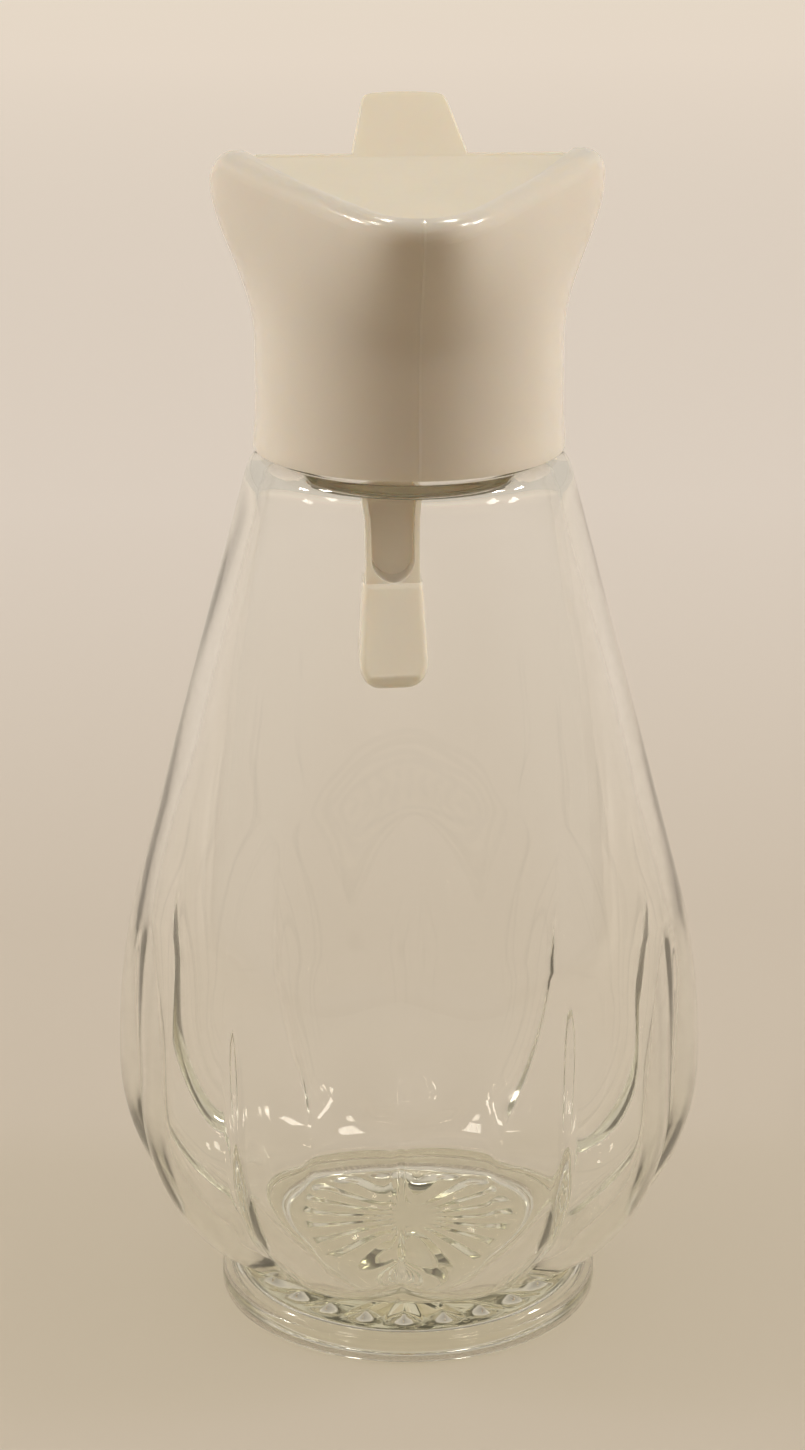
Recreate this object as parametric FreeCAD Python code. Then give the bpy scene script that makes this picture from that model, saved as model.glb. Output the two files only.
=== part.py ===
"""Syrup pouring bottle: a lobed clear glass bottle, a flared plastic pouring collar with its
handle moulded on, and a hinged lid with a thumb lever.  Millimetres, +Z up.

Origin: centre of the glass foot, on the surface the bottle stands on.
The pouring lip points along -Y, the handle along +Y.
"""
import FreeCAD, Part
import math
import os

V = FreeCAD.Vector

# ---------------------------------------------------------------- driving dimensions
# glass foot
FOOT_R = 26.9              # outer radius of the round foot
FOOT_H = 3.5               # height of the foot's upright edge
FOOT_EDGE = 1.0            # rounding of the foot's lower edge
FOOT_TOP_EDGE = 0.9        # and of its upper edge
RECESS_R = 21.5            # hollow under the foot, inside its standing ring
RECESS_DEPTH = 1.5
RECESS_BEVEL = 0.8         # slope of the hollow's side wall
WAIST_R = 24.0             # narrow place between foot and body
WAIST_Z = 8.4
COVE_LOW = (0.9, 0.6)      # how far the cove above the foot is pulled out from the waist and up
COVE_HIGH = (0.2, 2.2)     # from the foot, and at its upper end out and down from the waist

# glass body
BELLY_R = 41.1             # widest, measured on the lobes' crests
BELLY_Z = 35.0
BELLY_LOW = (10.0, 2.1)    # how far the curve under the belly is pulled out and up at the waist,
BELLY_DROP = 12.0          # and down at the belly
CONE_Z = 60.0              # from here up the body is a straight cone
BEND_LOW = 0.32            # shares of the way up from the belly to the cone at which the curve
BEND_HIGH = 0.68           # between them is pulled
SHOULDER_R = 22.3
SHOULDER_Z = 119.7
SHOULDER_ROUND = 3.6       # rounding from the cone over to the shoulder's flat
SHOULDER_LOW = (0.5, 2.2)  # how far its curve is pulled in and up at the cone
SHOULDER_FLAT = 1.3        # and how far in, at the height of the flat
LOBES = 10
LOBE_DEPTH = 2.6           # how far a groove lies inside the crests
LOBE_TURN = -5.3           # degrees from the lip's direction to the nearest groove
LOBE_FULL_Z = 13.0         # grooves have their whole depth from here ...
LOBE_FADE_Z = 36.0         # ... to here,
LOBE_END_Z = 62.0          # and are gone here
WALL = 2.6                 # glass wall, square to the surface, under the grooves
FLOOR_Z = 9.9              # top of the thick glass base
FLOOR_R = 19.5             # flat part of the inner floor
FLOOR_CORNER = 9.0         # how far out the inner corner's curve is pulled, and
FLOOR_RISE = 13.0          # how far up, before it meets the upright inner wall
SHOULDER_T = 2.2           # glass under the shoulder's flat
THROAT_ROUND = 2.5         # height of the inner corner below the shoulder
THROAT_PULL = 0.8          # how close to its corners the throat's curves are pulled
THROAT_RISE = 2.9          # height of the curve from the shoulder up into the neck
BELLY_TO_CONE = 2.9        # the cone, drawn on down, would be this much narrower there
STAR_R = 16.6              # star of cuts pressed into the hollow under the foot
STAR_INNER_R = 4.2         # plain disc in its middle
STAR_RAYS = 20
STAR_DEPTH = 1.1
STAR_WIDTH = 3.6           # width of a cut where it is deepest
STAR_RUNOUT = 3.0          # length over which it runs out again
STAR_END_DEPTH = 0.1       # depth at both its ends,
STAR_INNER_W = 0.4         # with this width at the disc
STAR_OUTER_W = 1.0         # and this at the star's edge

# glass neck
NECK_R = 17.9
NECK_BORE_R = 14.8
NECK_H = 15.0              # from the shoulder's flat to the rim
RIM_ROUND = 0.8

# collar
SKIRT_GAP = 0.8            # from the shoulder's flat up to the collar's lower edge
COLLAR_R = 20.6
COLLAR_FOOT_R = 20.9       # slightly wider at the lower edge,
COLLAR_FOOT_H = 6.0        # up to this height above it
THREAD_GAP = 0.7           # radial room round the neck
DECK_T = 2.0               # web that sits on the neck's rim
DECK_HOLE_R = 11.0
COLLAR_WALL = 2.2
EAR_X = 27.7               # distance of the flat across each ear, before its corners are rounded,
EAR_TURN = 95.0            # and the way it faces, in degrees from the nose
LIP_Y = 30.0               # the same for the nose of the lip
LIP_SIDE = 21.6            # distance of the lip's straight sides from the axis ...
LIP_SIDE_TURN = 55.0       # ... and the way they face, in degrees from the nose
BACK_Y = 22.4              # reach of the rear wall at the top
BACK_SIDE = 23.2           # the same for the rear corners
BACK_SIDE_TURN = 138.0
PLAN_SHARPNESS = 12        # higher makes the corners of the plan tighter
FLARE_START = 0.7          # above the neck's rim, where the round collar begins to flare
FLARE_END = 21.2           # ... and where it has its full width
RIDGE_Y = 1.0              # ridge between the front and the rear slope of the rim
RIDGE_H = 25.4             # its height above the neck's rim
FRONT_SLOPE = 8.8          # degrees, down to the lip
REAR_SLOPE = 34.0          # degrees, down to the handle
RIM_ROUNDING = 2.4         # outer edge of the rim
RIDGE_ROUNDING = 4.0       # where its two slopes meet on the ears
EAR_WALL = 1.4             # the ears that hold the pins are this much thicker,
EAR_SHARPNESS = 10         # and higher keeps that closer to the pins

# lid
LID_T = 1.8
LID_GAP = 0.3              # between the lid and the collar's walls
LID_SINK = 0.45            # lid's top below the rim
BARREL_R = 1.7
BARREL_SINK = 0.6          # barrel's top below the ridge
PIN_R = 1.0
PIN_REACH = 1.3            # pins reach this far into the ears
PIN_GAP = 0.06             # radial running clearance of a pin
PIN_END_GAP = 0.1
TRAY_DROP = 3.6            # rear tray below the rear rim
TRAY_T = 1.6
TRAY_GAP = 0.4             # between the tray and the barrel
LEVER_L = 16.0
LEVER_ANGLE = 23.0         # degrees above the horizontal
LEVER_T = 2.0
LEVER_W_ROOT = 15.6
LEVER_W_END = 11.0
LEVER_CORNER = 2.0
LEVER_CROWN = 0.5          # bulge of its end
LEVER_EDGE = 0.5           # rounding of its edges

# handle: middle line of the arch, as (distance out from the collar's rear wall, height above
# the neck's rim), then of the grip, as (distance out from the widest glass, the same height)
HANDLE_ARCH = [(-7.4, 5.9), (4.6, 6.5), (16.1, 1.9)]
HANDLE_GRIP = [(4.5, -8.8), (6.5, -25.3), (5.5, -44.3), (4.5, -60.4)]
HANDLE_T = 7.2             # thickness of the bar seen from the side
HANDLE_W = 9.2             # width of the bar
HANDLE_EDGE = 1.2          # rounding of its outer long edges
HANDLE_CORE_W = 7.4        # channel cored out of the bar's inner face
HANDLE_SKIN = 2.2          # what stays behind the channel
HANDLE_TIP_W = 11.6        # width of its solid tip, and
HANDLE_TIP_TOP_W = 10.0    # at the tip's upper end
HANDLE_TIP_H = 14.9
HANDLE_TIP_REACH = 4.6     # the tip leans in towards the glass by this much,
HANDLE_TIP_TOE = 2.0       # down to a steep face of this height
HANDLE_TIP_DRAFT = 0.4     # slope of that face
HANDLE_TIP_CORNER = 3.6    # its lower corners, seen from the front
HANDLE_TIP_EDGE = 1.2      # and the rounding of its edges


# ---------------------------------------------------------------- derived places
WALL_LEVEL = WALL / math.cos(math.atan2(BELLY_R - SHOULDER_R, SHOULDER_Z - BELLY_Z))
SHOULDER_TOP_Z = SHOULDER_Z + SHOULDER_ROUND
NECK_TOP_Z = SHOULDER_TOP_Z + NECK_H
FLARE_Z = NECK_TOP_Z + FLARE_START
FLARE_TOP_Z = NECK_TOP_Z + FLARE_END
RIDGE_Z = NECK_TOP_Z + RIDGE_H
SKIRT_Z = SHOULDER_TOP_Z + SKIRT_GAP
DECK_TOP_Z = NECK_TOP_Z + DECK_T
BARREL_Y = RIDGE_Y - BARREL_R
BARREL_Z = RIDGE_Z - BARREL_R - BARREL_SINK
HANDLE_ROUTE = ([(BACK_Y + out, NECK_TOP_Z + up) for out, up in HANDLE_ARCH]
                + [(BELLY_R + out, NECK_TOP_Z + up) for out, up in HANDLE_GRIP])
HANDLE_END_Y, HANDLE_END_Z = HANDLE_ROUTE[-1]
EPS = 0.01
OVER = 1.0                 # cutting forms reach this far past the faces they open
FAR = 60.0                 # and further than any wall where nothing else ends them


def bezier(points, t):
    """Point at t of the Bezier curve with these (r, z) control points."""
    while len(points) > 1:
        points = [((1 - t) * a[0] + t * b[0], (1 - t) * a[1] + t * b[1])
                  for a, b in zip(points, points[1:])]
    return points[0]


def smooth_step(x, low, high):
    """0 below low, 1 above high, smooth between."""
    t = min(1.0, max(0.0, (x - low) / (high - low)))
    return t * t * (3 - 2 * t)


# ---------------------------------------------------------------- glass bottle
def cone_r(z):
    """Radius of the straight upper body at height z, on its outer face."""
    slope = (BELLY_R - BELLY_TO_CONE - SHOULDER_R) / (SHOULDER_Z - CONE_Z)
    return SHOULDER_R + slope * (SHOULDER_Z - z)


def under_curve():
    """Control points of the curve from the waist out to the belly."""
    out, up = BELLY_LOW
    return [(WAIST_R, WAIST_Z), (WAIST_R + out, WAIST_Z + up),
            (BELLY_R, BELLY_Z - BELLY_DROP), (BELLY_R, BELLY_Z)]


def upper_curve(radius_of_cone, widest):
    """Control points of the curve from the belly up to the cone."""
    bend_z = BELLY_Z + BEND_HIGH * (CONE_Z - BELLY_Z)
    return [(widest, BELLY_Z), (widest, BELLY_Z + BEND_LOW * (CONE_Z - BELLY_Z)),
            (radius_of_cone(bend_z), bend_z), (radius_of_cone(CONE_Z), CONE_Z)]


def crest_profile():
    """(r, z) points up the crest of a lobe, from inside the foot to inside the shoulder."""
    points = [(WAIST_R, WAIST_Z)]
    points += [bezier(under_curve(), i / 14) for i in range(1, 15)]
    points += [bezier(upper_curve(cone_r, BELLY_R), i / 8) for i in range(1, 9)]
    rows = 8
    for i in range(1, rows + 1):
        z = CONE_Z + (SHOULDER_Z - CONE_Z) * i / rows
        points.append((cone_r(z), z))
    return points


def groove_depth(z):
    """How deep the grooves between the lobes are at height z."""
    rise = smooth_step(z, WAIST_Z, LOBE_FULL_Z)
    fade = 1 - smooth_step(z, LOBE_FADE_Z, LOBE_END_Z)
    return LOBE_DEPTH * rise * fade


def lobe_face():
    """One lobe's outer face, from groove to groove, as one smooth surface."""
    half = math.pi / LOBES
    columns = 12
    rows = []
    for r, z in crest_profile():
        row = []
        for i in range(columns + 1):
            across = 2 * i / columns - 1
            radius = r - groove_depth(z) * across * across
            angle = across * half
            row.append(V(radius * math.sin(angle), -radius * math.cos(angle), z))
        rows.append(row)
    surface = Part.BSplineSurface()
    surface.interpolate(rows)
    return surface.toShape()


def closed_form(faces, levels):
    """Solid from a ring of side faces, closed by a flat face at each of two levels."""
    caps = []
    for z in levels:
        rim = [e for f in faces for e in f.Edges
               if abs(e.BoundBox.ZMin - z) < EPS and abs(e.BoundBox.ZMax - z) < EPS]
        caps.append(Part.Face(Part.Wire(Part.__sortEdges__(rim))))
    shell = Part.makeShell(faces + caps)
    shell.sewShape()
    return Part.makeSolid(shell)


def lobed_body():
    """The closed, still massive body with its ring of lobes."""
    first = lobe_face()
    faces = []
    for i in range(LOBES):
        face = first.copy()
        turn = LOBE_TURN + (i + 0.5) * 360 / LOBES
        face.rotate(V(0, 0, 0), V(0, 0, 1), turn)
        faces.append(face)
    return closed_form(faces, (WAIST_Z, SHOULDER_Z))


def turned(outline):
    """Solid of revolution about Z of a closed outline of edges in the XZ plane."""
    return Part.Face(Part.Wire(outline)).revolve(V(0, 0, 0), V(0, 0, 1), 360)


def line(a, b):
    return Part.makeLine(V(a[0], 0, a[1]), V(b[0], 0, b[1]))


def curve(points):
    """Bezier edge in the XZ plane."""
    c = Part.BezierCurve()
    c.setPoles([V(r, 0, z) for r, z in points])
    return c.toShape()


def foot():
    """Round foot with its coved top and the hollow under it."""
    top = FOOT_H
    cove = [(FOOT_R - FOOT_TOP_EDGE, top), (WAIST_R + COVE_LOW[0], top + COVE_LOW[1]),
            (WAIST_R + COVE_HIGH[0], WAIST_Z - COVE_HIGH[1]), (WAIST_R, WAIST_Z)]
    shoulder = [(FOOT_R, top - FOOT_TOP_EDGE), (FOOT_R, top), (FOOT_R - FOOT_TOP_EDGE, top)]
    heel = [(FOOT_R - FOOT_EDGE, 0), (FOOT_R, 0), (FOOT_R, FOOT_EDGE)]
    ring = RECESS_R + RECESS_BEVEL
    pts = [line((0, RECESS_DEPTH), (RECESS_R, RECESS_DEPTH)),
           line((RECESS_R, RECESS_DEPTH), (ring, 0)),
           line((ring, 0), heel[0]), curve(heel), line(heel[2], shoulder[0]),
           curve(shoulder), curve(cove), line((WAIST_R, WAIST_Z), (0, WAIST_Z)),
           line((0, WAIST_Z), (0, RECESS_DEPTH))]
    return turned(pts)


def neck():
    """Rounded shoulder and plain neck above the cone."""
    flat_r = SHOULDER_R - SHOULDER_ROUND
    over = [(SHOULDER_R, SHOULDER_Z),
            (SHOULDER_R - SHOULDER_LOW[0], SHOULDER_Z + SHOULDER_LOW[1]),
            (SHOULDER_R - SHOULDER_FLAT, SHOULDER_TOP_Z), (flat_r, SHOULDER_TOP_Z)]
    rim = [(NECK_R, NECK_TOP_Z - RIM_ROUND), (NECK_R, NECK_TOP_Z),
           (NECK_R - RIM_ROUND, NECK_TOP_Z)]
    pts = [line((0, SHOULDER_Z), over[0]), curve(over),
           line(over[3], (NECK_R, SHOULDER_TOP_Z)), line((NECK_R, SHOULDER_TOP_Z), rim[0]),
           curve(rim), line(rim[2], (0, NECK_TOP_Z)), line((0, NECK_TOP_Z), (0, SHOULDER_Z))]
    return turned(pts)


def inner_cone_r(z):
    return cone_r(z) - WALL_LEVEL


def bottle_inside():
    """The space inside the bottle, from its floor out through the mouth."""
    inner_r = BELLY_R - LOBE_DEPTH - WALL
    corner = [(FLOOR_R, FLOOR_Z), (FLOOR_R + FLOOR_CORNER, FLOOR_Z),
              (inner_r, FLOOR_Z + FLOOR_RISE), (inner_r, BELLY_Z)]
    belly = upper_curve(inner_cone_r, inner_r)
    flat_z = SHOULDER_TOP_Z - SHOULDER_T
    low_z, bend_z = flat_z - THROAT_ROUND, flat_z - THROAT_PULL
    turn_in = [(inner_cone_r(low_z), low_z), (inner_cone_r(bend_z), bend_z),
               (inner_cone_r(flat_z) - THROAT_PULL, flat_z), (NECK_R, flat_z)]
    turn_up = [(NECK_R, flat_z), (NECK_BORE_R + THROAT_PULL, flat_z),
               (NECK_BORE_R, flat_z + THROAT_PULL), (NECK_BORE_R, flat_z + THROAT_RISE)]
    out = NECK_TOP_Z + OVER
    pts = [line((0, FLOOR_Z), corner[0]), curve(corner), curve(belly),
           line(belly[3], turn_in[0]), curve(turn_in), curve(turn_up),
           line(turn_up[3], (NECK_BORE_R, out)), line((NECK_BORE_R, out), (0, out)),
           line((0, out), (0, FLOOR_Z))]
    return turned(pts)


def star_cut():
    """One ray of the star: a V cut that widens and deepens outwards, then runs out."""
    low = RECESS_DEPTH / 2
    rows = [(STAR_INNER_R, STAR_INNER_W, STAR_END_DEPTH),
            (STAR_R - STAR_RUNOUT, STAR_WIDTH, STAR_DEPTH),
            (STAR_R, STAR_OUTER_W, STAR_END_DEPTH)]
    sections = []
    for r, width, depth in rows:
        reach = width / 2 * (1 + (RECESS_DEPTH - low) / depth)
        corners = [V(-reach, -r, low), V(0, -r, RECESS_DEPTH + depth), V(reach, -r, low)]
        sections.append(Part.makePolygon(corners + [corners[0]]))
    return Part.makeLoft(sections, True, True)


def star():
    """The rays of the star in the hollow under the foot, the first in line with a groove."""
    first = star_cut()
    rays = []
    for i in range(STAR_RAYS):
        ray = first.copy()
        ray.rotate(V(0, 0, 0), V(0, 0, 1), LOBE_TURN + i * 360 / STAR_RAYS)
        rays.append(ray)
    return rays


def glass_bottle():
    outside = lobed_body().fuse([foot(), neck()], 0.001)
    return outside.cut(bottle_inside()).cut(star()).removeSplitter()


# ---------------------------------------------------------------- collar
def rim_r(turn):
    """Radius of the flared rim's plan, turn in degrees from the nose: a polygon of flats
    whose corners are rounded by a power mean."""
    flats = [(0.0, LIP_Y), (LIP_SIDE_TURN, LIP_SIDE), (-LIP_SIDE_TURN, LIP_SIDE),
             (EAR_TURN, EAR_X), (-EAR_TURN, EAR_X), (BACK_SIDE_TURN, BACK_SIDE),
             (-BACK_SIDE_TURN, BACK_SIDE), (180.0, BACK_Y)]
    total = 0.0
    for facing, distance in flats:
        c = math.cos(math.radians(turn - facing))
        if c > 0:
            total += (c / distance) ** PLAN_SHARPNESS
    return total ** (-1 / PLAN_SHARPNESS)


def collar_r(turn, z):
    """Outer radius of the collar: round below, flared to the rim's plan above."""
    narrow = smooth_step(z, SKIRT_Z, SKIRT_Z + COLLAR_FOOT_H)
    round_r = COLLAR_FOOT_R + (COLLAR_R - COLLAR_FOOT_R) * narrow
    flare = smooth_step(z, FLARE_Z, FLARE_TOP_Z)
    return round_r + (rim_r(turn) - round_r) * flare


def thicker_at_ears(turn):
    """Extra thickness of the wall, only round the two ears."""
    return EAR_WALL * abs(math.sin(math.radians(turn))) ** EAR_SHARPNESS


def collar_point(turn, z, inset):
    """Point on the collar's outer form, moved square to its outline by inset."""
    step = 0.5
    if inset > 0:
        inset += thicker_at_ears(turn)
    r = collar_r(turn, z)
    slope = (collar_r(turn + step, z) - collar_r(turn - step, z)) / math.radians(2 * step)
    length = math.hypot(r, slope)
    out, along = r - inset * r / length, inset * slope / length
    angle = math.radians(turn)
    return V(out * math.sin(angle) + along * math.cos(angle),
             -out * math.cos(angle) + along * math.sin(angle), z)


def collar_form(inset, low, high):
    """Solid that follows the collar's outer form, moved in by inset, from low to high.
    Its two halves meet at the nose and at the back, as the mould's do."""
    rows = max(4, round((high - low) / 2.5))
    columns = 36
    grid = []
    for j in range(rows + 1):
        z = low + (high - low) * j / rows
        row = [collar_point(180 * i / columns, z, inset) for i in range(columns + 1)]
        row[0].x = row[-1].x = 0.0
        grid.append(row)
    surface = Part.BSplineSurface()
    surface.interpolate(grid)
    half = surface.toShape()
    faces = [half, half.mirror(V(0, 0, 0), V(1, 0, 0))]
    return closed_form(faces, (low, high))


def side_prism(points, half_width):
    """Prism across X of an outline given as (y, z) corners."""
    corners = [V(-half_width, y, z) for y, z in points]
    return Part.Face(Part.makePolygon(corners + [corners[0]])).extrude(V(2 * half_width, 0, 0))


def front_z(y, below=0.0):
    """Height of the rim's front slope, or of a plane that much below it."""
    return RIDGE_Z - below + math.tan(math.radians(FRONT_SLOPE)) * (y - RIDGE_Y)


def rear_z(y, below=0.0):
    """Height of the rim's rear slope, or of a plane that much below it."""
    return RIDGE_Z - below - math.tan(math.radians(REAR_SLOPE)) * (y - RIDGE_Y)


def above_rim():
    """All that lies above the rim's two slopes."""
    high = RIDGE_Z + FAR
    return side_prism([(-FAR, front_z(-FAR)), (RIDGE_Y, RIDGE_Z), (FAR, rear_z(FAR)),
                       (FAR, high), (-FAR, high)], FAR)


def handle_line(offset):
    """Points (y, z) along the handle, that far outside its middle line, root to free end."""
    middle = Part.BSplineCurve()
    middle.interpolate([V(0, y, z) for y, z in HANDLE_ROUTE])
    first, last = middle.FirstParameter, middle.LastParameter
    points = []
    count = 18
    for i in range(count + 1):
        at = first + (last - first) * i / count
        p, d = middle.value(at), middle.tangent(at)[0]
        points.append(V(0, p.y - offset * d.z, p.z + offset * d.y))
    return points


def handle_bar(inner, outer, width):
    """Bar between two offsets of the handle's middle line, centred on X = 0."""
    sides = []
    for offset in (inner, outer):
        points = handle_line(offset)
        c = Part.BSplineCurve()
        c.interpolate(points)
        sides.append((points, c.toShape()))
    (a, edge_a), (b, edge_b) = sides
    edges = [edge_a, edge_b, Part.makeLine(a[0], b[0]), Part.makeLine(a[-1], b[-1])]
    face = Part.Face(Part.Wire(Part.__sortEdges__(edges)))
    face.translate(V(-width / 2, 0, 0))
    return face.extrude(V(width, 0, 0))


def block(low, high):
    """Large block between two heights."""
    return Part.makeBox(2 * FAR, 2 * FAR, high - low, V(-FAR, -FAR, low))


def outer_edges(bar):
    """The bar's two long edges on the side away from the bottle."""
    found = [e for e in bar.Edges if e.Length > bar.BoundBox.ZLength / 2]
    found.sort(key=lambda e: e.BoundBox.YMax)
    return found[2:]


def handle_tip():
    """The handle's solid end: it leans in towards the glass, widens downwards and is rounded."""
    half = HANDLE_T / 2
    top, low = HANDLE_END_Z + HANDLE_TIP_H, HANDLE_END_Z
    inner, outer = HANDLE_END_Y - half, HANDLE_END_Y + half
    toe = inner - HANDLE_TIP_REACH
    side = side_prism([(outer, top), (inner + HANDLE_TIP_DRAFT, top), (toe, low + HANDLE_TIP_TOE),
                       (toe + HANDLE_TIP_DRAFT, low), (outer, low)], HANDLE_TIP_W / 2)
    corners = [V(-HANDLE_TIP_W / 2, toe, low), V(HANDLE_TIP_W / 2, toe, low),
               V(HANDLE_TIP_TOP_W / 2, toe, top), V(-HANDLE_TIP_TOP_W / 2, toe, top)]
    front = Part.Face(Part.makePolygon(corners + [corners[0]])).extrude(V(0, outer - toe, 0))
    tip = side.common(front)
    low_corners = [e for e in tip.Edges if e.BoundBox.ZMax < low + EPS
                   and e.BoundBox.XLength < EPS]
    tip = tip.makeFillet(HANDLE_TIP_CORNER, low_corners)
    edges = [e for e in tip.Edges if e.BoundBox.YMax < HANDLE_END_Y
             and e.BoundBox.ZMax > low + EPS]
    return tip.makeFillet(HANDLE_TIP_EDGE, edges)


def handle():
    """The arched bar, cored out on its inner face, with its solid tip."""
    half = HANDLE_T / 2
    bar = handle_bar(-half, half, HANDLE_W)
    bar = bar.makeFillet(HANDLE_EDGE, outer_edges(bar))
    core = handle_bar(-HANDLE_T, half - HANDLE_SKIN, HANDLE_CORE_W)
    centre = HANDLE_END_Z + HANDLE_TIP_H + HANDLE_CORE_W / 2
    end = Part.makeCylinder(HANDLE_CORE_W / 2, FAR, V(0, 0, centre), V(0, 1, 0))
    low_end = core.common(end)
    core = core.common(block(centre, RIDGE_Z)).fuse(low_end)
    return bar.cut(core).fuse(handle_tip())


def rounded_rim(body):
    """The form with its ridge and the outer edge of its rim rounded."""
    ridge = [e for e in body.Edges if e.BoundBox.XLength > EAR_X and e.BoundBox.YLength < EPS]
    body = body.makeFillet(RIDGE_ROUNDING, ridge)
    rim = [e for e in body.Edges if e.BoundBox.ZMin > DECK_TOP_Z
           and e.BoundBox.ZLength > EPS and e.BoundBox.XLength > EPS]
    return body.makeFillet(RIM_ROUNDING, rim)


def collar():
    """Flared collar with the web on the neck's rim, the rear tray and the handle."""
    body = collar_form(0.0, SKIRT_Z, RIDGE_Z + OVER)
    body = rounded_rim(body.cut(above_rim())).fuse(handle())
    socket = Part.makeCylinder(NECK_R + THREAD_GAP, NECK_TOP_Z - SKIRT_Z + OVER,
                               V(0, 0, SKIRT_Z - OVER))
    hole = Part.makeCylinder(DECK_HOLE_R, DECK_T + 2 * OVER, V(0, 0, NECK_TOP_Z - OVER))
    chamber = collar_form(COLLAR_WALL, DECK_TOP_Z, RIDGE_Z + 2 * OVER)
    front = BARREL_Y + BARREL_R + TRAY_GAP
    under = TRAY_DROP + TRAY_T
    tray = side_prism([(front, rear_z(front, TRAY_DROP)), (FAR, rear_z(FAR, TRAY_DROP)),
                       (FAR, rear_z(FAR, under)), (front, rear_z(front, under))], FAR)
    chamber = chamber.cut(tray)
    body = body.cut([socket, hole, chamber])
    half = pin_half_length() + PIN_END_GAP
    holes = Part.makeCylinder(PIN_R + PIN_GAP, 2 * half, V(-half, BARREL_Y, BARREL_Z), V(1, 0, 0))
    return body.cut(holes)


# ---------------------------------------------------------------- lid
def ear_inner_x():
    """Half width between the ears at the barrel."""
    return collar_point(90.0, BARREL_Z, COLLAR_WALL).x


def pin_half_length():
    return ear_inner_x() + PIN_REACH


def barrel_half_length():
    """The barrel's square ends clear the nearest part of the ears' inner faces."""
    walls = [collar_point(turn, BARREL_Z - BARREL_R, COLLAR_WALL) for turn in range(70, 111)]
    beside = [p.x for p in walls if abs(p.y - BARREL_Y) < BARREL_R + LID_GAP]
    return min(beside) - LID_GAP


def lever():
    """Thumb lever: a tapered plate that leans back from the barrel."""
    half_root, half_end = LEVER_W_ROOT / 2, LEVER_W_END / 2
    corner_y = LEVER_L - LEVER_CORNER
    half_corner = half_end + (half_root - half_end) * LEVER_CORNER / LEVER_L
    root = [V(half_root, 0, 0), V(-half_root, 0, 0)]
    left = [V(-half_corner, corner_y, 0), V(-half_end, LEVER_L, 0),
            V(-half_end + LEVER_CORNER, LEVER_L, 0)]
    right = [V(-p.x, p.y, 0) for p in reversed(left)]
    end = [left[2], V(0, LEVER_L + LEVER_CROWN, 0), right[0]]
    edges = [Part.makeLine(root[0], root[1]), Part.makeLine(root[1], left[0])]
    for poles in (left, end, right):
        rounding = Part.BezierCurve()
        rounding.setPoles(poles)
        edges.append(rounding.toShape())
    edges.append(Part.makeLine(right[2], root[0]))
    plate = Part.Face(Part.Wire(edges)).extrude(V(0, 0, LEVER_T))
    rims = [e for e in plate.Edges if e.BoundBox.YMax > EPS and e.BoundBox.ZLength < EPS]
    plate = plate.makeFillet(LEVER_EDGE, rims)
    plate.translate(V(0, 0, BARREL_R - LEVER_T))
    plate.rotate(V(0, 0, 0), V(1, 0, 0), LEVER_ANGLE)
    plate.translate(V(0, BARREL_Y, BARREL_Z))
    return plate


def lid():
    """Front flap, hinge barrel with its pins, and the thumb lever."""
    inside = collar_form(COLLAR_WALL + LID_GAP, DECK_TOP_Z, RIDGE_Z + OVER)
    under = LID_SINK + LID_T
    flap = side_prism([(-FAR, front_z(-FAR, LID_SINK)), (BARREL_Y, front_z(BARREL_Y, LID_SINK)),
                       (BARREL_Y, front_z(BARREL_Y, under)), (-FAR, front_z(-FAR, under))], FAR)
    half = barrel_half_length()
    barrel = Part.makeCylinder(BARREL_R, 2 * half, V(-half, BARREL_Y, BARREL_Z), V(1, 0, 0))
    body = flap.common(inside).fuse(barrel)
    pins = Part.makeCylinder(PIN_R, 2 * pin_half_length(),
                             V(-pin_half_length(), BARREL_Y, BARREL_Z), V(1, 0, 0))
    return body.fuse([pins, lever()])


# ---------------------------------------------------------------- files
def main():
    os.makedirs("parts", exist_ok=True)
    for name, make in (("glass_bottle", glass_bottle), ("collar", collar), ("lid", lid)):
        shape = make()
        print(name, "valid", shape.isValid(), "solids", len(shape.Solids),
              "faces", len(shape.Faces), "volume", round(shape.Volume, 1),
              "box", shape.BoundBox)
        shape.exportStep("parts/" + name + ".step")


main()
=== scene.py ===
"""Dresses the syrup pouring bottle: clear lobed glass, a pale moulded collar with its handle, and
a cream flap lid, on a plain warm table.  Metres, +Z up, the same frame as the solids."""
import bpy
import functools
import math
from mathutils import Matrix, Vector


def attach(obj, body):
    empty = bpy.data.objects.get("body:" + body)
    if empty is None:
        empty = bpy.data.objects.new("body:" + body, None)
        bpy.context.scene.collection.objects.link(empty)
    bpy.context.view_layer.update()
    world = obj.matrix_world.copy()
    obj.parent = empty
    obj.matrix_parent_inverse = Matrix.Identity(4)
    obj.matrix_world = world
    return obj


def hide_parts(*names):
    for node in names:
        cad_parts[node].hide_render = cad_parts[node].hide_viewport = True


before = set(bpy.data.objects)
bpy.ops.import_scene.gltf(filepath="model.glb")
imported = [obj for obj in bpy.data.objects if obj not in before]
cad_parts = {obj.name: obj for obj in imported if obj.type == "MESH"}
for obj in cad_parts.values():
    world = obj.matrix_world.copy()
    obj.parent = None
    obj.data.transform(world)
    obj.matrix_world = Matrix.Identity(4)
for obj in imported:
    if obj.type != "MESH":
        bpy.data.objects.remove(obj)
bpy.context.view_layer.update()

MM = 0.001

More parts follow.
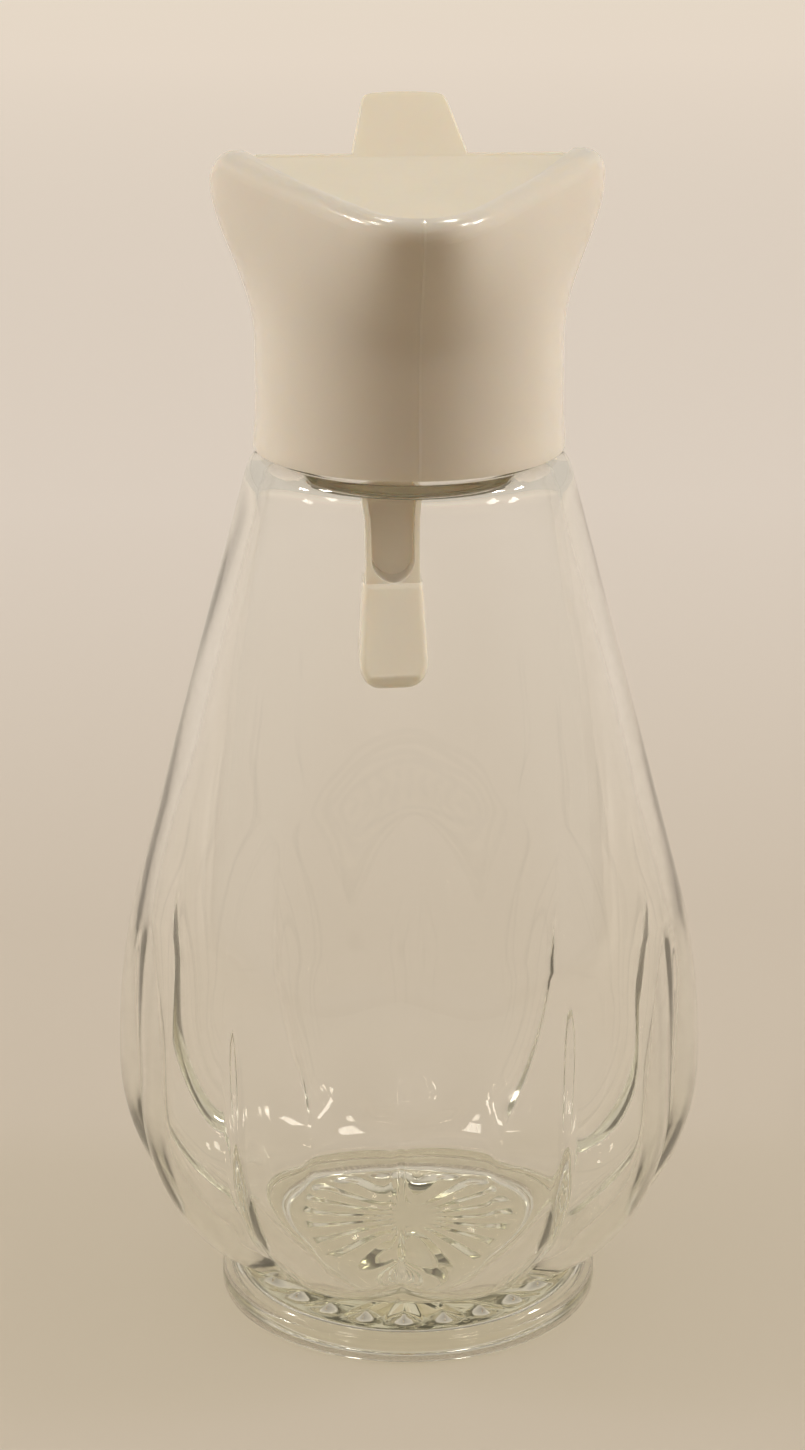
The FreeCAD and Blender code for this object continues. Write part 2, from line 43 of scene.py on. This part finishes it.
# ---------------------------------------------------------------- glass sizes, in millimetres
FOOT_R, FOOT_H, FOOT_EDGE, FOOT_TOP_EDGE = 26.9, 3.5, 1.0, 0.9
FOOT_FLAT = 0.6                            # ring kept flat beside the rounded lower edge
RECESS_R, RECESS_DEPTH = 21.5, 1.5         # hollow under the foot
RECESS_SIDE = [(0.0, 1.5), (0.3, 1.1), (0.8, 0.3), (1.5, 0.0)]  # out from RECESS_R, and up
WAIST_R, WAIST_Z = 24.0, 8.4
COVE_LOW, COVE_HIGH = (0.9, 0.6), (0.2, 2.2)    # bends between foot and waist
BELLY_R, BELLY_Z = 41.1, 35.0
UNDER_LOW, UNDER_HIGH = (10.0, 2.1), 14.6       # bends between waist and belly
CONE_Z, CONE_INSET = 60.0, 2.9             # foot of the straight cone, so far inside the belly
BEND_LOW, BEND_HIGH = 0.32, 0.68           # bends between belly and cone, parts of the way up
SHOULDER_R, SHOULDER_Z, SHOULDER_ROUND = 22.3, 119.7, 3.6
SHOULDER_TOP_Z = SHOULDER_Z + SHOULDER_ROUND
OVER_LOW, OVER_HIGH = (0.5, 2.2), 1.3           # bends over the shoulder
NECK_R, NECK_BORE_R, NECK_H = 17.9, 14.8, 15.0
NECK_TOP_Z = SHOULDER_TOP_Z + NECK_H
NECK_ROOT, RIM_ROUND, BORE_EDGE, BORE_STRAIGHT = 0.5, 0.8, 0.4, 7.0

WALL = 2.6
CONE_LEAN = math.atan2(BELLY_R - SHOULDER_R, SHOULDER_Z - BELLY_Z)
CONE_WALL = WALL / math.cos(CONE_LEAN)     # the leaning wall, measured level
INNER_BELLY_R = 38.5
FLOOR_Z, FLOOR_R, FLOOR_CORNER, FLOOR_RISE = 9.9, 19.5, 9.0, 13.0
CEILING_Z = SHOULDER_TOP_Z - 2.2           # inside, under the shoulder
THROAT_ROUND, THROAT_PULL, THROAT_RISE = 2.5, 0.8, 2.9

LOBES, LOBE_TURN = 10, -5.3                # how many, and where the first groove is, in degrees
GROOVE_DEPTH, GROOVE_FULL_Z = 2.6, 13.0    # it begins at the waist and is full from here up
INNER_GROOVE_DEPTH = 2.3
INNER_GROOVE_RISE = (1.0, 9.0)             # it begins and is full so far above the inner floor
INNER_GROOVE_ROUND = 0.06                  # roundness of its bottom, part of a lobe's width
GROOVE_FADE = (36.0, 62.0)                 # both sides' grooves run out between these heights
STAR_R, STAR_INNER_R, STAR_RAYS, STAR_DEPTH = 18.2, 4.2, 20, 1.3
STAR_SLOPE = 3.0                           # each ray runs out over this length at its outer end
STAR_FIELD, STAR_BORDER_R = 1.06, 19.6     # finely divided so far past the star, then flat
COLUMNS = 360                              # faces round the glass
MERGE = 0.00001                            # points closer than this, in metres, become one
ON_LEVEL = 0.01                            # a point so near a height lies on it

# ---------------------------------------------------------------- finishes
GLASS_IOR, PLASTIC_IOR = 1.5, 1.49
GLASS_SHADE = (0.955, 0.955, 0.94)         # left of light that goes straight through a surface
GLASS_TINT, GLASS_DENSITY = (0.93, 0.93, 0.79), 30.0
GLASS_WAVES = (0.016, 0.00022, (1.0, 1.0, 0.45))    # size and height in metres, stretch
LAST_TURN = 7.5                            # after so many surfaces light goes straight on,
LAST_REFLECTION, LEAK = 2.5, 0.15          # and after so many reflections this much of it does
COLLAR_COLOUR, COLLAR_ROUGHNESS = (0.78, 0.74, 0.68), 0.16
LID_COLOUR, LID_ROUGHNESS = (0.83, 0.78, 0.67), 0.24
COLLAR_DEPTH, LID_DEPTH = 0.003, 0.002     # how far light spreads in them, in metres
COLLAR_SEAM = 0.00005                      # height of the collar's parting line, in metres
MILKINESS, MILK_SPREAD = 0.55, (1.0, 0.82, 0.6)    # how milky, and each colour's spread
CLOUD_SCALE, CLOUD_DETAIL = 70.0, 3.0
CLOUD_DARK, CLOUD_LIGHT = 0.97, 1.03       # of the colour
CLOUD_GLOSSY, CLOUD_MATT = 0.8, 1.25       # of the roughness
PEEL_SIZE, PEEL_HEIGHT = 0.0012, 0.000008  # orange peel, in metres
SEAM_HALF, SEAM_Y = 0.0003, -0.015         # half the parting line's width; it is all in front of Y

# ---------------------------------------------------------------- room, table and lamps
ROOM = (0.62, 0.56, 0.48)                  # light of the pale room
ROOM_FRONT = (0.265, 0.19, 0.11)           # and of its dark side, in front of the lip; also the colour of the table's painted shade
FRONT_DARK, FRONT_PALE = -0.85, -0.35      # directions along Y where it is all dark, all pale
ROOM_TOP = 0.5                             # what is left of the light straight above
TOP_FROM, TOP_TO = 0.3, 0.95               # it dims between these heights of the sky
TABLE_SIZE, TABLE_ROUGHNESS = 12, 0.8
TABLE_NEAR, TABLE_FAR = -0.4, 1.6          # the table's tones and painted light run from here to here, along Y
TABLE_SHADE_FROM, TABLE_SHADE_FULL = -0.05, -0.16      # painted shade, for diffusely bounced rays only: the table takes the dark room colour, forwards between these
# Painted light in the table's colour: darkest about the bottle, lighter far behind it.
TABLE_TONES_AND_LIGHT = [(0.0, (0.66, 0.61, 0.54)), (0.20, (0.64, 0.59, 0.52)), (0.27, (0.67, 0.62, 0.56)),
               (0.42, (0.84, 0.80, 0.77)), (1.0, (0.90, 0.87, 0.84))]
# Painted light: the table glows, not at all near the bottle and most far behind it.
PAINTED_GLOW_TONES = [(0.0, (0.0, 0.0, 0.0)), (0.27, (0.0, 0.0, 0.0)), (0.42, (0.04, 0.035, 0.035)),
              (0.87, (0.30, 0.26, 0.222)), (1.0, (0.33, 0.29, 0.243))]
WARM = (1.0, 0.93, 0.83)
LAMP_TARGET = Vector((0.0, 0.0, 0.09))
# Name, turn from the lip's side towards +X and lift in degrees, distance in metres, width and
# height in millimetres, watts.
PANELS = (("panel_left", -94, 18, 2.0, (1250, 1500), 13.0),
          ("panel_right", 86, 18, 2.0, (1250, 1500), 16.0),
          ("small_panel_left", -89, 43, 0.9, (200, 200), 1.9),
          ("small_panel_right", 85, 41, 0.9, (200, 200), 2.0))
GLINTS = (("glint_left_high", -84, 50, 0.9, (130, 70), 1.5),
          ("glint_left_low", -94, 36, 0.9, (130, 70), 1.5),
          ("glint_right_high", 77, 45, 0.9, (130, 70), 1.5),
          ("glint_right_low", 93, 36, 0.9, (130, 70), 1.5),
          ("glint_above_left", -120, 70, 0.9, (160, 90), 2.4),
          ("glint_above_right", 120, 70, 0.9, (160, 90), 2.4))
SPOT_PLACE, HANDLE_TIP = Vector((-0.02, -0.50, 0.24)), Vector((0.0, 0.042, 0.083))
SPOT_POWER, SPOT_CONE = 2.1, 4.2           # watts, degrees


# ---------------------------------------------------------------- helpers
def only(obj):
    """Deselects everything else and makes obj the active object."""
    if bpy.context.mode != "OBJECT":
        bpy.ops.object.mode_set(mode="OBJECT")
    bpy.ops.object.select_all(action="DESELECT")
    obj.select_set(True)
    bpy.context.view_layer.objects.active = obj


def bezier(points, t):
    """The point at t, from 0 to 1, along a curve with these control points."""
    while len(points) > 1:
        points = [tuple((1 - t) * a + t * b for a, b in zip(p, q))
                  for p, q in zip(points, points[1:])]
    return points[0]


def curve(points, steps):
    """The curve's points from end to end, in so many steps."""
    return [bezier(points, i / steps) for i in range(steps + 1)]


def smooth_step(x, low, high):
    """0 up to low, 1 from high on, and smooth between them."""
    t = min(1.0, max(0.0, (x - low) / (high - low)))
    return t * t * (3 - 2 * t)


def adder(tree):
    """A function that adds a node to the tree, with its settings and its inputs.  An input, by
    name or number, is given another node's output, which is linked, or a plain value."""
    def add(kind, inputs=None, **settings):
        node = tree.nodes.new(kind)
        for key, value in settings.items():
            setattr(node, key, value)
        for key, value in (inputs or {}).items():
            if isinstance(value, bpy.types.NodeSocket):
                tree.links.new(value, node.inputs[key])
            else:
                node.inputs[key].default_value = value
        return node
    return add


def maths(add, operation, a, b=0.0):
    """The output of a Math node for two values or outputs."""
    return add("ShaderNodeMath", {0: a, 1: b}, operation=operation).outputs[0]


def spread(add, value, low, high, to_low=0.0, to_high=1.0, kind="LINEAR"):
    """The output that goes from to_low to to_high as value goes from low to high."""
    return add("ShaderNodeMapRange", {"Value": value, "From Min": low, "From Max": high,
                                      "To Min": to_low, "To Max": to_high},
               interpolation_type=kind).outputs[0]


def blended(add, factor, a, b):
    """The output of a colour mix: a where factor is 0, b where it is 1."""
    return add("ShaderNodeMix", {"Factor": factor, "A": a, "B": b},
               data_type="RGBA").outputs["Result"]


def opaque(colour, brightness=1.0):
    """The colour, brighter or darker, with full alpha."""
    return (*[c * brightness for c in colour], 1)


def material(name):
    """A new node material without nodes, and the function that adds nodes to it."""
    made = bpy.data.materials.new(name)
    made.use_nodes = True
    made.node_tree.nodes.clear()
    return made, adder(made.node_tree)


def make_uneven_surface():
    """Node group: the normal of a surface that rises and falls a little, in waves of a given
    size and height (both in metres), drawn out or pressed together by the stretch."""
    group = bpy.data.node_groups.new("uneven_surface", "ShaderNodeTree")
    new_socket = group.interface.new_socket
    for name, kind, value in (("Size", "NodeSocketFloat", 0.01),
                              ("Height", "NodeSocketFloat", 0.0001),
                              ("Stretch", "NodeSocketVector", (1.0, 1.0, 1.0))):
        new_socket(name=name, in_out="INPUT", socket_type=kind).default_value = value
    new_socket(name="Normal", in_out="OUTPUT", socket_type="NodeSocketVector")
    add = adder(group)
    given = add("NodeGroupInput").outputs
    where = add("ShaderNodeTexCoord").outputs["Object"]
    place = add("ShaderNodeMapping", {"Vector": where, "Scale": given["Stretch"]}).outputs[0]
    per_metre = maths(add, "DIVIDE", 1.0, given["Size"])
    noise = add("ShaderNodeTexNoise", {"Vector": place, "Scale": per_metre, "Detail": 1.0})
    bump = add("ShaderNodeBump", {"Height": noise.outputs["Fac"], "Distance": given["Height"]})
    add("NodeGroupOutput", {"Normal": bump.outputs["Normal"]})


def uneven(add, size, height, stretch=(1.0, 1.0, 1.0)):
    """The normal of the shared uneven surface, with a material's own values."""
    return add("ShaderNodeGroup", {"Size": size, "Height": height, "Stretch": stretch},
               node_tree=bpy.data.node_groups["uneven_surface"]).outputs["Normal"]


# ---------------------------------------------------------------- camera
def set_up_camera():
    """Looks down at the bottle from in front of its lip."""
    place = Vector((-0.0282, -0.4491, 0.234))
    ahead = math.radians(3.483)
    down = math.radians(18.41)
    lean = math.radians(-0.04)
    forward = Vector((math.sin(ahead) * math.cos(down), math.cos(ahead) * math.cos(down),
                      -math.sin(down)))
    side = forward.cross(Vector((0, 0, 1))).normalized()
    up = side.cross(forward)
    right = side * math.cos(lean) - up * math.sin(lean)
    top = up * math.cos(lean) + side * math.sin(lean)
    data = bpy.data.cameras.new("camera")
    data.lens, data.sensor_width, data.sensor_fit = 85.35, 36.0, "AUTO"
    data.clip_start, data.clip_end = 0.02, 30.0
    camera = bpy.data.objects.new("camera", data)
    bpy.context.scene.collection.objects.link(camera)
    turn = Matrix((right, top, -forward)).transposed().to_4x4()
    camera.matrix_world = Matrix.Translation(place) @ turn
    bpy.context.scene.camera = camera


# ---------------------------------------------------------------- outline of the glass
def cone_r(z):
    """Outer radius of the straight cone at height z."""
    slope = (BELLY_R - CONE_INSET - SHOULDER_R) / (SHOULDER_Z - CONE_Z)
    return SHOULDER_R + slope * (SHOULDER_Z - z)


def inner_cone_r(z):
    """Inner radius of the straight cone at height z."""
    return cone_r(z) - CONE_WALL


def upper_curve(cone, widest):
    """Control points from the belly, which is widest, in to the cone."""
    rise = CONE_Z - BELLY_Z
    bend_z = BELLY_Z + BEND_HIGH * rise
    return [(widest, BELLY_Z), (widest, BELLY_Z + BEND_LOW * rise),
            (cone(bend_z), bend_z), (cone(CONE_Z), CONE_Z)]


def under_curve():
    """Control points of the outside from the waist out and up to the belly."""
    return [(WAIST_R, WAIST_Z), (WAIST_R + UNDER_LOW[0], WAIST_Z + UNDER_LOW[1]),
            (BELLY_R, WAIST_Z + UNDER_HIGH), (BELLY_R, BELLY_Z)]


def corner_curve():
    """Control points of the inside from the flat floor out and up to the belly."""
    return [(FLOOR_R, FLOOR_Z), (FLOOR_R + FLOOR_CORNER, FLOOR_Z),
            (INNER_BELLY_R, FLOOR_Z + FLOOR_RISE), (INNER_BELLY_R, BELLY_Z)]


def foot_outline():
    """(r, z) from the middle of the hollow under the foot out and up to the waist."""
    rings = 22
    top_r = FOOT_R - FOOT_TOP_EDGE
    low_edge = [(FOOT_R - FOOT_EDGE, 0), (FOOT_R, 0), (FOOT_R, FOOT_EDGE)]
    top_edge = [(FOOT_R, FOOT_H - FOOT_TOP_EDGE), (FOOT_R, FOOT_H), (top_r, FOOT_H)]
    cove = [(top_r, FOOT_H), (WAIST_R + COVE_LOW[0], FOOT_H + COVE_LOW[1]),
            (WAIST_R + COVE_HIGH[0], WAIST_Z - COVE_HIGH[1]), (WAIST_R, WAIST_Z)]
    points = [(STAR_R * STAR_FIELD * i / rings, RECESS_DEPTH) for i in range(rings + 1)]
    points += [(STAR_BORDER_R, RECESS_DEPTH)]
    points += [(RECESS_R + out, up) for out, up in RECESS_SIDE]
    points += [(FOOT_R - FOOT_EDGE - FOOT_FLAT, 0)]
    points += curve(low_edge, steps=5) + curve(top_edge, steps=5)
    points += curve(cove, steps=12)[1:-1]
    return points


def outer_outline():
    """(r, z) up the crest of a lobe, over the shoulder and up the neck."""
    levels = 20
    over = [(SHOULDER_R, SHOULDER_Z), (SHOULDER_R - OVER_LOW[0], SHOULDER_Z + OVER_LOW[1]),
            (SHOULDER_R - OVER_HIGH, SHOULDER_TOP_Z),
            (SHOULDER_R - SHOULDER_ROUND, SHOULDER_TOP_Z)]
    rim = [(NECK_R, NECK_TOP_Z - RIM_ROUND), (NECK_R, NECK_TOP_Z),
           (NECK_R - RIM_ROUND, NECK_TOP_Z)]
    cone_levels = [CONE_Z + (SHOULDER_Z - CONE_Z) * i / levels for i in range(1, levels + 1)]
    points = curve(under_curve(), steps=34)
    points += curve(upper_curve(cone_r, BELLY_R), steps=16)[1:]
    points += [(cone_r(z), z) for z in cone_levels]
    points += curve(over, steps=12)[1:]
    points += [(NECK_R, SHOULDER_TOP_Z + NECK_ROOT)]
    points += curve(rim, steps=4)
    return points


def inner_outline():
    """(r, z) down the bore and the inner wall to the middle of the inner floor."""
    rings, levels = 14, 20
    low_z, bend_z = CEILING_Z - THROAT_ROUND, CEILING_Z - THROAT_PULL
    turn_in = [(inner_cone_r(low_z), low_z), (inner_cone_r(bend_z), bend_z),
               (inner_cone_r(CEILING_Z) - THROAT_PULL, CEILING_Z), (NECK_R, CEILING_Z)]
    turn_up = [(NECK_R, CEILING_Z), (NECK_BORE_R + THROAT_PULL, CEILING_Z),
               (NECK_BORE_R, CEILING_Z + THROAT_PULL), (NECK_BORE_R, CEILING_Z + THROAT_RISE)]
    cone_levels = [CONE_Z + (low_z - CONE_Z) * i / levels for i in range(1, levels)]
    upwards = [(FLOOR_R * i / rings, FLOOR_Z) for i in range(rings)]
    upwards += curve(corner_curve(), steps=26)[:-1]
    upwards += curve(upper_curve(inner_cone_r, INNER_BELLY_R), steps=16)
    upwards += [(inner_cone_r(z), z) for z in cone_levels]
    upwards += curve(turn_in, steps=8)[:-1] + curve(turn_up, steps=8)
    upwards += [(NECK_BORE_R, NECK_TOP_Z - BORE_STRAIGHT), (NECK_BORE_R, NECK_TOP_Z - BORE_EDGE),
                (NECK_BORE_R + BORE_EDGE, NECK_TOP_Z)]
    return upwards[::-1]


# ---------------------------------------------------------------- grooves and star
def half_way(outer, inner):
    """Control points half way between those of two curves."""
    return [tuple((a + b) / 2 for a, b in zip(p, q)) for p, q in zip(outer, inner)]


@functools.lru_cache(maxsize=None)
def middle_r(z):
    """Radius half way through the glass wall at height z, above the inner floor."""
    if z >= CONE_Z:
        return cone_r(z) - CONE_WALL / 2
    points = curve(half_way(under_curve(), corner_curve()), steps=60)
    points += curve(half_way(upper_curve(cone_r, BELLY_R),
                             upper_curve(inner_cone_r, INNER_BELLY_R)), steps=40)
    return [r for r, level in points if level <= z][-1]


def inner_wall(p):
    """True for points of the inner floor and wall, up to where the grooves have run out."""
    in_reach = FLOOR_Z - ON_LEVEL < p.z < GROOVE_FADE[1]
    return in_reach and math.hypot(p.x, p.y) < middle_r(round(p.z, 2))


def from_nearest(p, count):
    """How far p is round the glass from the nearest of count even places, the first of them in
    a groove: 0 at the place, and 0.5 or -0.5 half way to the next."""
    turn = math.degrees(math.atan2(p.x, -p.y)) - LOBE_TURN
    return (turn * count / 360 + 0.5) % 1.0 - 0.5


def across_lobe(p, rounded=0.0):
    """0 on a lobe's crest and 1 in the groove beside it, rounded off there if asked."""
    return 1 - 2 * (math.hypot(from_nearest(p, LOBES), rounded) - rounded)


def groove(p):
    """Depth of the outer grooves at p, from 0 to 1."""
    if inner_wall(p):
        return 0.0
    rise = smooth_step(p.z, WAIST_Z, GROOVE_FULL_Z)
    fade = 1 - smooth_step(p.z, *GROOVE_FADE)
    return rise * fade * across_lobe(p) ** 2


def inner_groove(p):
    """Depth of the inner grooves at p, from 0 to 1."""
    if not inner_wall(p):
        return 0.0
    rise = smooth_step(p.z - FLOOR_Z, *INNER_GROOVE_RISE)
    fade = 1 - smooth_step(p.z, *GROOVE_FADE)
    return rise * fade * across_lobe(p, INNER_GROOVE_ROUND) ** 2


def star(p):
    """Rays pressed up into the hollow: deepest near the edge, none in the plain middle."""
    r = math.hypot(p.x, p.y)
    if p.z > RECESS_DEPTH + ON_LEVEL or not STAR_INNER_R < r < STAR_R:
        return 0.0
    inwards = (r - STAR_INNER_R) / (STAR_R - STAR_SLOPE - STAR_INNER_R)
    outwards = (STAR_R - r) / STAR_SLOPE
    return min(1.0, inwards, outwards) * (1 - 2 * abs(from_nearest(p, STAR_RAYS)))


# ---------------------------------------------------------------- glass
def spun(name, outline):
    """Mesh turned about Z from (r, z) points in millimetres, drawn as an edge line and spun."""
    bpy.ops.mesh.primitive_plane_add(size=MM, location=(0, 0, 0))
    made = bpy.context.object
    made.name = name
    bpy.ops.object.mode_set(mode="EDIT")
    bpy.ops.mesh.select_all(action="SELECT")
    bpy.ops.mesh.merge(type="CENTER")
    here = outline[0]
    bpy.ops.transform.translate(value=(here[0] * MM, 0, here[1] * MM))
    for r, z in outline[1:]:
        bpy.ops.mesh.extrude_region_move(
            TRANSFORM_OT_translate={"value": ((r - here[0]) * MM, 0, (z - here[1]) * MM)})
        here = (r, z)
    bpy.ops.mesh.select_all(action="SELECT")
    bpy.ops.mesh.spin(steps=COLUMNS, angle=math.tau, center=(0, 0, 0), axis=(0, 0, 1))
    bpy.ops.mesh.select_all(action="SELECT")
    bpy.ops.mesh.remove_doubles(threshold=MERGE)
    bpy.ops.mesh.normals_make_consistent(inside=False)
    bpy.ops.object.mode_set(mode="OBJECT")
    return made


def weigh(obj, name, weight):
    """Vertex group of that name, with weight(point in millimetres) at each vertex."""
    group = obj.vertex_groups.new(name=name)
    for v in obj.data.vertices:
        w = weight(v.co / MM)
        if w > 0:
            group.add([v.index], w, "REPLACE")


def sink(obj, name, direction, depth):
    """Moves the surface by depth, in millimetres, times the weights of that name."""
    step = obj.modifiers.new(name, "DISPLACE")
    step.direction = direction
    step.mid_level = 0.0
    step.strength = depth * MM
    step.vertex_group = name
    only(obj)
    bpy.ops.object.modifier_apply(modifier=name)


def make_glass():
    """The bottle's glass, from its plain round outline with grooves and star pressed in."""
    bpy.ops.object.select_all(action="DESELECT")
    glass = spun("glass", foot_outline() + outer_outline() + inner_outline())
    forms = (("grooves", "NORMAL", -GROOVE_DEPTH, groove),
             ("inner_grooves", "NORMAL", INNER_GROOVE_DEPTH, inner_groove),
             ("star", "Z", STAR_DEPTH, star))
    for name, _, _, weight in forms:
        weigh(glass, name, weight)
    for name, direction, depth, _ in forms:
        sink(glass, name, direction, depth)
    glass.vertex_groups.clear()
    only(glass)
    bpy.ops.object.shade_smooth()
    glass.data.materials.append(glass_material())
    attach(glass, "root")
    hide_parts("glass_bottle")


def glass_material():
    """Clear pressed glass: slightly wavy, faintly olive where it is thick.  Light on its way to
    or from a matt surface goes straight through it, a little dimmed."""
    made, add = material("clear_glass")
    clear = add("ShaderNodeBsdfPrincipled", {
        "Base Color": (1, 1, 1, 1), "Roughness": 0.0, "IOR": GLASS_IOR,
        "Transmission Weight": 1.0, "Normal": uneven(add, *GLASS_WAVES)})
    through = add("ShaderNodeBsdfTransparent", {"Color": opaque(GLASS_SHADE)})
    depth = add("ShaderNodeVolumeAbsorption", {"Color": opaque(GLASS_TINT),
                                               "Density": GLASS_DENSITY})
    path = add("ShaderNodeLightPath").outputs
    turned = maths(add, "GREATER_THAN", path["Ray Depth"], LAST_TURN)
    reflected = maths(add, "GREATER_THAN", path["Glossy Depth"], LAST_REFLECTION)
    caught = maths(add, "MAXIMUM", turned, maths(add, "MULTIPLY", reflected, LEAK))
    matt = maths(add, "MAXIMUM", path["Is Shadow Ray"], path["Diffuse Depth"])
    straight = maths(add, "MAXIMUM", caught, matt)
    mix = add("ShaderNodeMixShader", {0: straight, 1: clear.outputs[0], 2: through.outputs[0]})
    add("ShaderNodeOutputMaterial", {"Surface": mix.outputs[0], "Volume": depth.outputs[0]})
    return made


# ---------------------------------------------------------------- plastics
def seamed(add, normal, where, height):
    """The normal with the mould's parting line, so high in metres, down the front's middle."""
    split = add("ShaderNodeSeparateXYZ", {0: where}).outputs
    aside = maths(add, "ABSOLUTE", split["X"])
    ridge = spread(add, aside, 0.0, SEAM_HALF, 1.0, 0.0)
    line = maths(add, "MULTIPLY", ridge, maths(add, "LESS_THAN", split["Y"], SEAM_Y))
    return add("ShaderNodeBump", {"Height": line, "Distance": height,
                                  "Normal": normal}).outputs["Normal"]


def plastic_material(name, colour, roughness, depth, seam=0.0):
    """Moulded plastic: milky, with a faint cloudiness in colour and gloss and a fine orange
    peel; depth is how far light spreads in it, and seam its parting line's height, in metres."""
    made, add = material(name)
    where = add("ShaderNodeTexCoord").outputs["Object"]
    cloud = add("ShaderNodeTexNoise", {"Vector": where, "Scale": CLOUD_SCALE,
                                       "Detail": CLOUD_DETAIL}).outputs["Fac"]
    normal = uneven(add, PEEL_SIZE, PEEL_HEIGHT)
    if seam:
        normal = seamed(add, normal, where, seam)
    body = add("ShaderNodeBsdfPrincipled", {
        "Base Color": blended(add, cloud, opaque(colour, CLOUD_DARK), opaque(colour, CLOUD_LIGHT)),
        "Roughness": spread(add, cloud, 0.0, 1.0, roughness * CLOUD_GLOSSY,
                            roughness * CLOUD_MATT),
        "IOR": PLASTIC_IOR, "Normal": normal, "Subsurface Weight": MILKINESS,
        "Subsurface Radius": MILK_SPREAD, "Subsurface Scale": depth})
    add("ShaderNodeOutputMaterial", {"Surface": body.outputs[0]})
    return made


def dress(node, made):
    """Gives a solid's node its material in every slot."""
    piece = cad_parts[node]
    if not piece.material_slots:
        piece.data.materials.append(made)
    for s in piece.material_slots:
        s.material = made


# ---------------------------------------------------------------- table, room and lamps
def toned(add, place, stops):
    """The output of a colour ramp with (place, colour) stops, at place."""
    ramp = add("ShaderNodeValToRGB", {0: place})
    first, last = ramp.color_ramp.elements[0], ramp.color_ramp.elements[1]
    first.position, first.color = stops[0][0], opaque(stops[0][1])
    last.position, last.color = stops[-1][0], opaque(stops[-1][1])
    for position, colour in stops[1:-1]:
        ramp.color_ramp.elements.new(position).color = opaque(colour)
    return ramp.outputs[0]


def make_stage():
    """A wide warm table with painted light in its colour: darker about the bottle, lighter and
    with a painted glow far behind it, and painted shade in front of it that only diffusely bounced
    rays see, so that part throws little light back on the bottle.
    """
    bpy.ops.object.select_all(action="DESELECT")
    bpy.ops.mesh.primitive_plane_add(size=TABLE_SIZE, location=(0, 0, 0))
    floor = bpy.context.object
    floor.name = "table"
    made, add = material("warm_table")
    where = add("ShaderNodeTexCoord").outputs["Object"]
    along = add("ShaderNodeSeparateXYZ", {0: where}).outputs["Y"]
    far = spread(add, along, TABLE_NEAR, TABLE_FAR)
    # painted shade: diffusely bounced rays see the table in front of the bottle in the dark room
    # colour
    near = spread(add, along, TABLE_SHADE_FROM, TABLE_SHADE_FULL)
    bounced = add("ShaderNodeLightPath").outputs["Is Diffuse Ray"]
    dark = maths(add, "MULTIPLY", bounced, near)
    # its emission is a painted glow, growing far behind the bottle
    skin = add("ShaderNodeBsdfPrincipled", {
        "Base Color": blended(add, dark, toned(add, far, TABLE_TONES_AND_LIGHT), opaque(ROOM_FRONT)),
        "Roughness": TABLE_ROUGHNESS, "Specular IOR Level": 0.0,
        "Emission Color": toned(add, far, PAINTED_GLOW_TONES), "Emission Strength": 1.0})
    add("ShaderNodeOutputMaterial", {"Surface": skin.outputs[0]})
    floor.data.materials.append(made)


def make_room():
    """Even pale room, dimmer from above.  In front of the lip it is dark, but not where it is
    seen directly or through the glass."""
    world = bpy.data.worlds.new("room")
    bpy.context.scene.world = world
    world.use_nodes = True
    world.node_tree.nodes.clear()
    add = adder(world.node_tree)
    where = add("ShaderNodeTexCoord").outputs["Generated"]
    split = add("ShaderNodeSeparateXYZ", {0: where}).outputs
    path = add("ShaderNodeLightPath").outputs
    seen = maths(add, "MAXIMUM", path["Is Camera Ray"], path["Is Transmission Ray"])
    back = spread(add, split["Y"], FRONT_DARK, FRONT_PALE, kind="SMOOTHSTEP")
    pale = maths(add, "MAXIMUM", seen, back)
    light = add("ShaderNodeBackground", {
        "Color": blended(add, pale, opaque(ROOM_FRONT), opaque(ROOM)),
        "Strength": spread(add, split["Z"], TOP_FROM, TOP_TO, 1.0, ROOM_TOP, "SMOOTHSTEP")})
    add("ShaderNodeOutputWorld", {"Surface": light.outputs[0]})


def hang(data, place, target):
    """Hangs a lamp at place and turns it to shine on target."""
    made = bpy.data.objects.new(data.name, data)
    bpy.context.scene.collection.objects.link(made)
    made.location = place
    made.rotation_euler = (target - place).to_track_quat("-Z", "Y").to_euler()
    return made


def lamp(name, turn, lift, distance, size, power):
    """Area lamp aimed at the bottle."""
    a, e = math.radians(turn), math.radians(lift)
    way = Vector((math.sin(a) * math.cos(e), -math.cos(a) * math.cos(e), math.sin(e)))
    data = bpy.data.lights.new(name, "AREA")
    data.shape, data.size, data.size_y = "RECTANGLE", size[0] * MM, size[1] * MM
    data.energy, data.color = power, WARM
    return hang(data, LAMP_TARGET + way * distance, LAMP_TARGET)


def make_lamps():
    """A large and a small soft panel each side that don't show in the glass, small lamps that
    only show as glints, and a spot on the handle's tip, which is seen through the glass."""
    for values in PANELS:
        panel = lamp(*values)
        panel.visible_glossy = False
        panel.visible_transmission = False
    for values in GLINTS:
        lamp(*values).visible_diffuse = False
    spot = bpy.data.lights.new("tip_spot", "SPOT")
    spot.energy, spot.color = SPOT_POWER, WARM
    spot.spot_size, spot.spot_blend, spot.shadow_soft_size = math.radians(SPOT_CONE), 1.0, 0.0
    hang(spot, SPOT_PLACE, HANDLE_TIP)


# ---------------------------------------------------------------- the scene
bpy.context.scene.view_settings.view_transform = "Standard"
make_uneven_surface()
set_up_camera()
make_room()
make_lamps()
make_stage()
make_glass()
dress("collar", plastic_material("collar_plastic", COLLAR_COLOUR, COLLAR_ROUGHNESS, COLLAR_DEPTH,
                                 COLLAR_SEAM))
dress("lid", plastic_material("lid_plastic", LID_COLOUR, LID_ROUGHNESS, LID_DEPTH))
